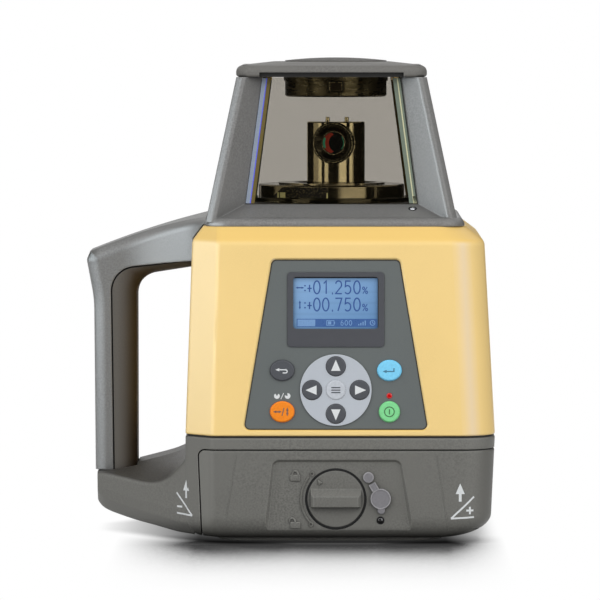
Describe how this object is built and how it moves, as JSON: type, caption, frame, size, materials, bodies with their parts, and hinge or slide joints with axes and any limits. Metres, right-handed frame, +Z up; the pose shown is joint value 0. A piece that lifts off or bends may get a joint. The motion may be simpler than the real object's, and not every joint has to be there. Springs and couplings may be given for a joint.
{
  "type": "rotary laser level",
  "caption": "Self-levelling rotary laser level: spinning laser head behind a glazed, roofed head on a yellow case with keypad, display, side handle and pull-out battery holder.",
  "frame": {"origin": "mouth of the tripod thread under the base, on the axis of the spinning head", "axes": "+Z up along the spin axis, -Y towards the keypad side, +X to the right of a person facing the keypad"},
  "size_m": [0.2102, 0.1684, 0.2453],
  "materials": {
    "case_yellow": "fine spark-eroded moulded plastic",
    "housing_grey": "fine spark-eroded moulded plastic",
    "cover_grey": "fine spark-eroded moulded plastic",
    "seal_black": "soft matt rubber",
    "window_glass": "clear flat float glass",
    "optic_black": "polished black",
    "lens_glass": "coated optical glass",
    "panel_grey": "fine matt film",
    "bezel_grey": "satin film",
    "display_blue": "liquid crystal behind a clear cover",
    "plate_silver": "satin silver",
    "key_dark": "soft matt silicone",
    "key_light": "soft matt silicone",
    "key_blue": "soft matt silicone",
    "key_orange": "soft matt silicone",
    "key_green": "soft matt silicone",
    "lamp_red": "clear tinted lamp",
    "flap_grey": "soft matt rubber",
    "thread_brass": "turned",
    "gimbal_alloy": "machined",
    "drive_steel": "ground",
    "motor_can": "plated can",
    "nut_white": "acetal",
    "board_green": "solder mask",
    "tray_black": "moulded",
    "cell_can": "plain sleeved can"
  },
  "bodies": {
    "housing": {"base_plate": "housing_grey", "tripod_insert": "thread_brass", "feet": "seal_black", "base_case": "housing_grey", "main_case": "case_yellow", "case_gasket": "seal_black", "top_frame": "housing_grey", "window_front": "window_glass", "window_right": "window_glass", "window_back": "window_glass", "window_left": "window_glass", "lid": "housing_grey", "receiver_ring": "optic_black", "turret_cover": "optic_black", "handle_shell": "housing_grey", "handle_cover": "cover_grey", "chassis": "gimbal_alloy", "level_motors": "motor_can", "panel_plate": "panel_grey", "lcd_bezel": "bezel_grey", "lcd_module": "display_blue", "nav_ring": "plate_silver", "keypad_mat": "seal_black", "power_led": "lamp_red", "main_board": "board_green", "case_screws": "drive_steel"},
    "gimbal": {"gimbal_ring": "gimbal_alloy"},
    "projector": {"projector_barrel": "gimbal_alloy", "laser_module": "drive_steel", "collimator": "lens_glass", "tilt_sensors": "motor_can", "rotor_bearings": "drive_steel", "rotor_motor": "motor_can"},
    "rotor": {"rotor_head": "optic_black", "lens_bezel": "optic_black", "exit_lens": "lens_glass", "pentaprism": "lens_glass"},
    "level_screw_right_body": {"level_screw_right": "drive_steel"},
    "level_screw_back_body": {"level_screw_back": "drive_steel"},
    "level_nut_right_body": {"level_nut_right": "nut_white"},
    "level_nut_back_body": {"level_nut_back": "nut_white"},
    "battery": {"battery_door": "housing_grey", "battery_tray": "tray_black", "battery_cells": "cell_can", "battery_contacts": "drive_steel", "charge_jack": "tray_black", "charge_lamp": "lamp_red", "flap_pin": "flap_grey"},
    "lock": {"lock_knob": "housing_grey", "latch_cam": "tray_black"},
    "flap": {"charge_flap": "flap_grey"},
    "esc_key_body": {"esc_key": "key_dark"},
    "enter_key_body": {"enter_key": "key_blue"},
    "axis_key_body": {"axis_key": "key_orange"},
    "power_key_body": {"power_key": "key_green"},
    "menu_key_body": {"menu_key": "key_light"},
    "up_key_body": {"up_key": "key_dark"},
    "down_key_body": {"down_key": "key_dark"},
    "left_key_body": {"left_key": "key_dark"},
    "right_key_body": {"right_key": "key_dark"}
  },
  "joints": [
    {"name": "tilt_x", "type": "hinge", "parent": "housing", "child": "gimbal", "pos_m": [0, 0, 0.143], "axis": [1, 0, 0], "range_deg": [-5, 5]},
    {"name": "tilt_y", "type": "hinge", "parent": "gimbal", "child": "projector", "pos_m": [0, 0, 0.143], "axis": [0, 1, 0], "range_deg": [-5, 5]},
    {"name": "rotor_spin", "type": "hinge", "parent": "projector", "child": "rotor", "pos_m": [0, 0, 0.143], "axis": [0, 0, 1], "continuous": true},
    {"name": "nut_right_travel", "type": "slide", "parent": "housing", "child": "level_nut_right_body", "axis": [0, 0, 1], "range_m": [-0.005, 0.005]},
    {"name": "nut_back_travel", "type": "slide", "parent": "housing", "child": "level_nut_back_body", "axis": [0, 0, 1], "range_m": [-0.005, 0.005]},
    {"name": "screw_right_turn", "type": "hinge", "parent": "housing", "child": "level_screw_right_body", "pos_m": [0.064, 0, 0.118], "axis": [0, 0, 1], "range_deg": [-600, 600]},
    {"name": "screw_back_turn", "type": "hinge", "parent": "housing", "child": "level_screw_back_body", "pos_m": [0, 0.064, 0.118], "axis": [0, 0, 1], "range_deg": [-600, 600]},
    {"name": "battery_slide", "type": "slide", "parent": "housing", "child": "battery", "axis": [0, -1, 0], "range_m": [0, 0.09]},
    {"name": "lock_turn", "type": "hinge", "parent": "battery", "child": "lock", "pos_m": [0, -0.082, 0.0226], "axis": [0, -1, 0], "range_deg": [0, 90]},
    {"name": "flap_open", "type": "hinge", "parent": "battery", "child": "flap", "pos_m": [0.01813, -0.0837, 0.03073], "axis": [-0.8692, 0, -0.4944], "range_deg": [0, 100]},
    {"name": "esc_key_press", "type": "slide", "parent": "housing", "child": "esc_key_body", "axis": [0, 0.9975, -0.0712], "range_m": [0, 0.0008], "stiffness_N_per_m": 300},
    {"name": "enter_key_press", "type": "slide", "parent": "housing", "child": "enter_key_body", "axis": [0, 0.9975, -0.0712], "range_m": [0, 0.0008], "stiffness_N_per_m": 300},
    {"name": "axis_key_press", "type": "slide", "parent": "housing", "child": "axis_key_body", "axis": [0, 0.9975, -0.0712], "range_m": [0, 0.0008], "stiffness_N_per_m": 300},
    {"name": "power_key_press", "type": "slide", "parent": "housing", "child": "power_key_body", "axis": [0, 0.9975, -0.0712], "range_m": [0, 0.0008], "stiffness_N_per_m": 300},
    {"name": "menu_key_press", "type": "slide", "parent": "housing", "child": "menu_key_body", "axis": [0, 0.9975, -0.0712], "range_m": [0, 0.0008], "stiffness_N_per_m": 300},
    {"name": "up_key_press", "type": "slide", "parent": "housing", "child": "up_key_body", "axis": [0, 0.9975, -0.0712], "range_m": [0, 0.0008], "stiffness_N_per_m": 300},
    {"name": "down_key_press", "type": "slide", "parent": "housing", "child": "down_key_body", "axis": [0, 0.9975, -0.0712], "range_m": [0, 0.0008], "stiffness_N_per_m": 300},
    {"name": "left_key_press", "type": "slide", "parent": "housing", "child": "left_key_body", "axis": [0, 0.9975, -0.0712], "range_m": [0, 0.0008], "stiffness_N_per_m": 300},
    {"name": "right_key_press", "type": "slide", "parent": "housing", "child": "right_key_body", "axis": [0, 0.9975, -0.0712], "range_m": [0, 0.0008], "stiffness_N_per_m": 300}
  ],
  "couplings": [
    {"joint": "nut_right_travel", "follows": "tilt_y", "m_per_rad": -0.056},
    {"joint": "screw_right_turn", "follows": "tilt_y", "ratio": -117.29},
    {"joint": "nut_back_travel", "follows": "tilt_x", "m_per_rad": 0.056},
    {"joint": "screw_back_turn", "follows": "tilt_x", "ratio": 117.29}
  ]
}
